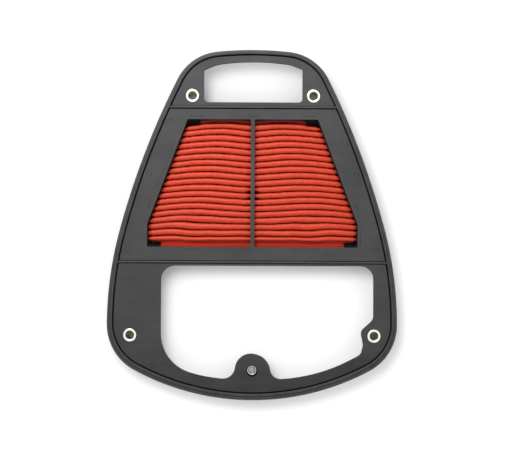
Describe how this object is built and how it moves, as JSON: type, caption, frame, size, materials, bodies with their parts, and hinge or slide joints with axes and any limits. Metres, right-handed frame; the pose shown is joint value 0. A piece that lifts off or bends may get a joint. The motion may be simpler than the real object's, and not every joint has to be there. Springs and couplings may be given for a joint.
{
  "type": "panel air filter",
  "caption": "Flat panel air filter with a rounded triangular rim seal, red pleated element, nose and tail openings, bolt collars and a screw eyelet.",
  "frame": {"origin": "under the middle of the outline, on the tray's rear face, which the filter lies on", "axes": "+Z out of the front, +Y to the narrow nose, +X to the right seen from the front"},
  "size_m": [0.2068, 0.2496, 0.0205],
  "materials": {
    "moulded_plastic": "fine grained moulded nylon, mid grey",
    "tray_plastic": "fine grained moulded nylon, dark grey",
    "seal_rubber": "satin grey rubber",
    "filter_paper": "oiled red pleated filter paper",
    "potting_compound": "dark cast sealing compound",
    "hot_melt": "hot-melt adhesive, stained red by the filter oil",
    "zinc_plate": "bright zinc-plated steel",
    "copper_plate": "dull copper-coloured plated steel",
    "steel_wire": "woven steel wire"
  },
  "bodies": {
    "root": {"front_plate": "moulded_plastic", "rear_tray": "tray_plastic", "front_seal": "seal_rubber", "rear_seal": "seal_rubber", "pleated_paper": "filter_paper", "potting_left": "potting_compound", "potting_right": "potting_compound", "glue_strip_top": "hot_melt", "glue_strip_bottom": "hot_melt", "centre_glue_bead": "hot_melt", "wire_screen": "steel_wire", "screen_border": "zinc_plate", "screw_eyelet": "copper_plate", "bolt_collar_top_left": "zinc_plate", "bolt_collar_top_right": "zinc_plate", "bolt_collar_bottom_left": "zinc_plate", "bolt_collar_bottom_right": "zinc_plate"}
  },
  "joints": []
}
